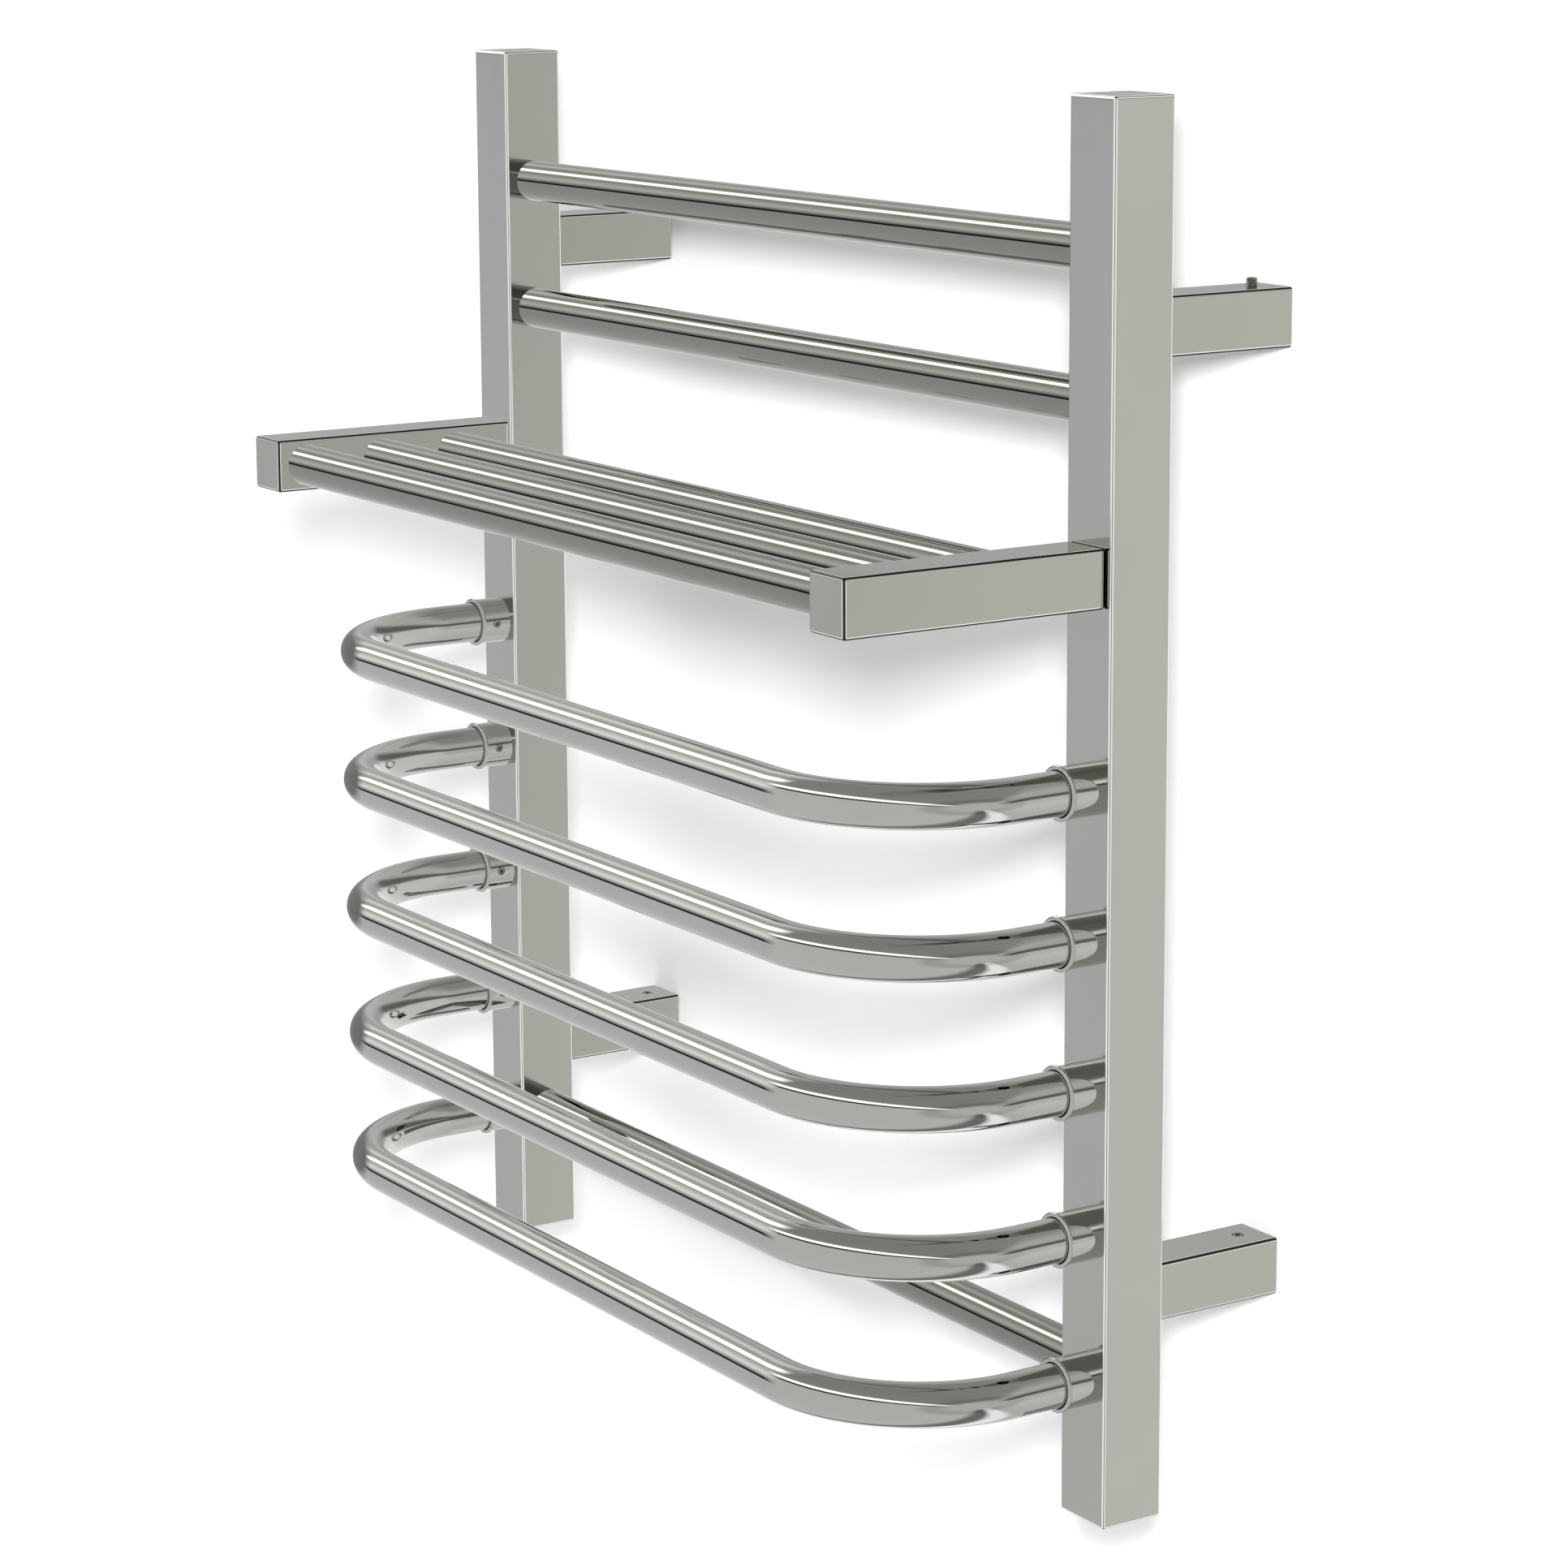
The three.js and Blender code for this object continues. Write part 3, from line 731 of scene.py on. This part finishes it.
def add_grub_screw(side_name, number):
    node = f"{side_name}_grub_screw_{number}"
    low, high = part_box(node)
    side = SIDES[side_name]
    middle = (low + high) / 2
    outer_x = low.x if side > 0 else high.x
    add_screw(node, Vector((outer_x, middle.y, middle.z)), -side * RIGHT, GRUB_SCREW)


def add_set_screw(corner):
    node = f"{corner}_set_screw"
    low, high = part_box(node)
    middle = (low + high) / 2
    add_screw(node, Vector((middle.x, middle.y, high.z)), UP, SET_SCREW)


# ---- CAD nodes that stay ----------------------------------------------------------------------------


def keep_node(node, finish, edge):
    """A CAD node that is shown as it is, with softened edges and its own material."""
    piece = frame["nodes"][node]
    piece.data.materials.clear()
    piece.data.materials.append(finish)
    weld = piece.modifiers.new("weld", "WELD")
    weld.merge_threshold = WELD_DISTANCE
    soften_rims(piece, edge)


def keep_small_pieces():
    for level in LEVELS:
        for side_name in SIDES:
            keep_node(f"{level}_{side_name}_wall_plug", PLUG_FINISH, PLUG_EDGE)
    keep_node("supply_grommet", RUBBER, GROMMET_EDGE)
    keep_node("terminal_block", PLASTIC, BLOCK_EDGE)
    keep_node("thermal_cutout", CUTOUT_FINISH, CUTOUT_EDGE)


# ---- Stage ------------------------------------------------------------------------------------------

WALL_HALF_WIDTH = 5.0
FLOOR_HEIGHT = -1.3
FLOOR_REACH = 26.0
WALL_TOP = 2.5
WALL_OFFSET = 0.0004
WALL_TONE = 0.90
FLOOR_TONE = 0.95
KEY_PLACE = Vector((2.15, -1.55, 0.73))
KEY_SIZE = 0.28
KEY_POWER = 11.5


def stage_plane(name, corners, material):
    mesh = bpy.data.meshes.new(name)
    mesh.from_pydata(corners, [], [(0, 1, 2, 3)])
    mesh.materials.append(material)
    plane = bpy.data.objects.new(name, mesh)
    bpy.context.scene.collection.objects.link(plane)
    return plane


def matt_paint(name, tone):
    material, tree, shader = new_material(name)
    shader.inputs["Base Color"].default_value = (tone, tone, tone, 1)
    shader.inputs["Roughness"].default_value = 1.0
    shader.inputs["Specular IOR Level"].default_value = 0.0
    return material, tree, shader


def white_wall():
    """A white wall that is clear from behind, so that the back of the object can be looked at."""
    material, tree, shader = matt_paint("white_wall", WALL_TONE)
    geometry = tree.nodes.new("ShaderNodeNewGeometry")
    clear = tree.nodes.new("ShaderNodeBsdfTransparent")
    wall = mix_shaders(
        tree, geometry.outputs["Backfacing"], shader.outputs["BSDF"], clear.outputs["BSDF"],
    )
    tree.links.new(wall, tree.nodes["Material Output"].inputs["Surface"])
    return material


def add_key_light():
    """A soft light that stays as strong at any distance, so that the wall is lit evenly."""
    data = bpy.data.lights.new("key_light", "AREA")
    data.shape = "SQUARE"
    data.size = KEY_SIZE
    data.energy = KEY_POWER
    data.use_nodes = True
    tree = data.node_tree
    falloff = add_node(tree, "ShaderNodeLightFalloff", Strength=1.0)
    tree.links.new(falloff.outputs["Constant"], tree.nodes["Emission"].inputs["Strength"])
    light = bpy.data.objects.new("key_light", data)
    light.location = KEY_PLACE
    light.rotation_euler = (-KEY_PLACE).to_track_quat("-Z", "Y").to_euler()
    light.visible_camera = False
    bpy.context.scene.collection.objects.link(light)
    return light


# What the polish reflects: a studio of long soft panels that lie along X, given by the angle round X
# from the horizon in front, up over the top (90) and down to the horizon behind (180). Reflections
# that look to the left see LEFT_PANELS, the others see RIGHT_PANELS, and each end has its flat tone.

LEFT_PANELS = (
    (-180, (0.88, 0.88, 0.88)),
    (-60, (0.86, 0.86, 0.88)),
    (-4, (0.85, 0.88, 0.94)),
    (-2, (0.02, 0.02, 0.02)),
    (4, (0.02, 0.02, 0.02)),
    (12, (0.70, 0.70, 0.70)),
    (26, (1.55, 1.55, 1.52)),
    (36, (1.25, 1.25, 1.22)),
    (52, (0.80, 0.80, 0.78)),
    (58, (0.80, 0.80, 0.78)),
    (61, (4.20, 4.20, 4.15)),
    (75, (4.20, 4.20, 4.15)),
    (78, (0.80, 0.80, 0.78)),
    (92, (0.70, 0.70, 0.68)),
    (110, (1.35, 1.35, 1.30)),
    (124, (0.80, 0.80, 0.78)),
    (138, (0.60, 0.60, 0.58)),
    (150, (0.80, 0.80, 0.82)),
    (163, (0.56, 0.57, 0.58)),
    (172, (0.50, 0.50, 0.51)),
    (180, (0.55, 0.55, 0.55)),
)
RIGHT_PANELS = (
    (-180, (0.87, 0.87, 0.87)),
    (-145, (0.87, 0.87, 0.87)),
    (-119, (0.72, 0.72, 0.72)),
    (-115, (1.40, 1.40, 1.44)),
    (-109, (1.40, 1.40, 1.44)),
    (-104, (0.25, 0.25, 0.25)),
    (-96, (0.25, 0.25, 0.25)),
    (-87, (0.77, 0.77, 0.77)),
    (28, (0.75, 0.75, 0.75)),
    (31, (0.03, 0.03, 0.03)),
    (35, (0.03, 0.03, 0.03)),
    (38, (2.50, 2.50, 2.50)),
    (43, (2.50, 2.50, 2.50)),
    (47, (0.36, 0.36, 0.36)),
    (84, (0.34, 0.34, 0.34)),
    (124, (0.38, 0.38, 0.37)),
    (136, (0.66, 0.66, 0.64)),
    (150, (0.64, 0.64, 0.62)),
    (158, (0.18, 0.18, 0.18)),
    (168, (0.18, 0.18, 0.18)),
    (176, (0.87, 0.87, 0.87)),
    (180, (0.87, 0.87, 0.87)),
)
LEFT_END = (0.30, 0.30, 0.30)
RIGHT_END = (0.90, 0.90, 0.90)
WHITE = (1, 1, 1, 1)
ROOM_LIGHT = 0.70

# How far to the right a reflection looks, from -1 to 1, where one set of panels gives way to the next.
LEFT_END_FADE = {"start": -0.95, "end": -0.89}
LEFT_TO_RIGHT = {"start": -0.76, "end": -0.62}
RIGHT_DIMMING = {"start": 0.79, "end": 0.87}
RIGHT_END_FADE = {"start": 0.92, "end": 0.97}
RIGHT_NEAR, RIGHT_FAR = 1.25, 0.95


def panel_ramp(tree, angle, panels):
    """Colours by angle: the angle is in whole turns, from 0 at -180 degrees to 1 at 180 degrees."""
    ramp = tree.nodes.new("ShaderNodeValToRGB")
    points = ramp.color_ramp.elements
    while len(points) < len(panels):
        points.new(position=1.0)
    for point, (degrees, colour) in zip(points, panels):
        point.position = degrees / 360 + 0.5
        point.color = (*colour, 1)
    tree.links.new(angle, ramp.inputs["Fac"])
    return ramp.outputs["Color"]


def studio_reflections(tree):
    """The colour that the polish sees in each direction."""
    place = tree.nodes.new("ShaderNodeTexCoord")
    split = tree.nodes.new("ShaderNodeSeparateXYZ")
    tree.links.new(place.outputs["Generated"], split.inputs["Vector"])
    forward = arithmetic(tree, "MULTIPLY", split.outputs["Y"], -1.0)
    radians = arithmetic(tree, "ARCTAN2", split.outputs["Z"], forward)
    turns = arithmetic(tree, "MULTIPLY_ADD", radians, 0.5 / math.pi)
    turns.node.inputs[2].default_value = 0.5
    sideways = split.outputs["X"]
    left_panels = panel_ramp(tree, turns, LEFT_PANELS)
    right_panels = tree.nodes.new("ShaderNodeVectorMath")
    right_panels.operation = "SCALE"
    tree.links.new(panel_ramp(tree, turns, RIGHT_PANELS), right_panels.inputs[0])
    dimming = remap(tree, sideways, RIGHT_NEAR, RIGHT_FAR, **RIGHT_DIMMING)
    tree.links.new(dimming, right_panels.inputs["Scale"])
    to_right = remap(tree, sideways, 0, 1, **LEFT_TO_RIGHT)
    colour = mix_colours(tree, to_right, left_panels, right_panels.outputs["Vector"])
    colour = mix_colours(tree, remap(tree, sideways, 1, 0, **LEFT_END_FADE), colour, LEFT_END)
    return mix_colours(tree, remap(tree, sideways, 0, 1, **RIGHT_END_FADE), colour, RIGHT_END)


def add_studio():
    """Reflections see the panels, the camera sees plain white, and a plain white room lights the rest."""
    world = bpy.data.worlds.new("studio")
    bpy.context.scene.world = world
    world.use_nodes = True
    tree = world.node_tree
    panels = tree.nodes["Background"]
    tree.links.new(studio_reflections(tree), panels.inputs["Color"])
    room = add_node(tree, "ShaderNodeBackground", Color=WHITE, Strength=ROOM_LIGHT)
    plain = add_node(tree, "ShaderNodeBackground", Color=WHITE, Strength=1.0)
    path = tree.nodes.new("ShaderNodeLightPath")
    lit = mix_shaders(
        tree, path.outputs["Is Glossy Ray"], room.outputs["Background"], panels.outputs["Background"],
    )
    shown = mix_shaders(tree, path.outputs["Is Camera Ray"], lit, plain.outputs["Background"])
    tree.links.new(shown, tree.nodes["World Output"].inputs["Surface"])


def add_stage():
    reach = FLOOR_REACH
    floor = stage_plane(
        "floor",
        [(-reach, -reach, FLOOR_HEIGHT), (reach, -reach, FLOOR_HEIGHT),
         (reach, reach, FLOOR_HEIGHT), (-reach, reach, FLOOR_HEIGHT)],
        matt_paint("pale_floor", FLOOR_TONE)[0],
    )
    half = WALL_HALF_WIDTH
    wall = stage_plane(
        "wall",
        [(-half, WALL_OFFSET, FLOOR_HEIGHT), (half, WALL_OFFSET, FLOOR_HEIGHT),
         (half, WALL_OFFSET, WALL_TOP), (-half, WALL_OFFSET, WALL_TOP)],
        white_wall(),
    )
    add_studio()
    key = add_key_light()
    for unseen in (floor, wall, key):
        unseen.visible_glossy = False
    view = bpy.context.scene.view_settings
    view.view_transform = "Standard"
    view.look = "None"


# ---- Assembly ---------------------------------------------------------------------------------------


def build_warmer():
    for side_name in SIDES:
        add_post(side_name)
        add_shelf_arm(side_name)
        for number in RAIL_NUMBERS:
            add_sleeve(side_name, number)
            add_grub_screw(side_name, number)
        for level in LEVELS:
            add_bracket(f"{level}_{side_name}")
            add_set_screw(f"{level}_{side_name}")
    for node in CROSS_BARS:
        add_bar(node)
    for name in SHELF_BARS:
        add_bar(f"{name}_shelf_bar")
        add_straight_element(f"{name}_shelf_element")
    for node in ("top_bar_element", "second_bar_element"):
        add_straight_element(node)
    for number in RAIL_NUMBERS:
        add_rail(number)
    keep_small_pieces()


add_camera()
build_warmer()
add_stage()
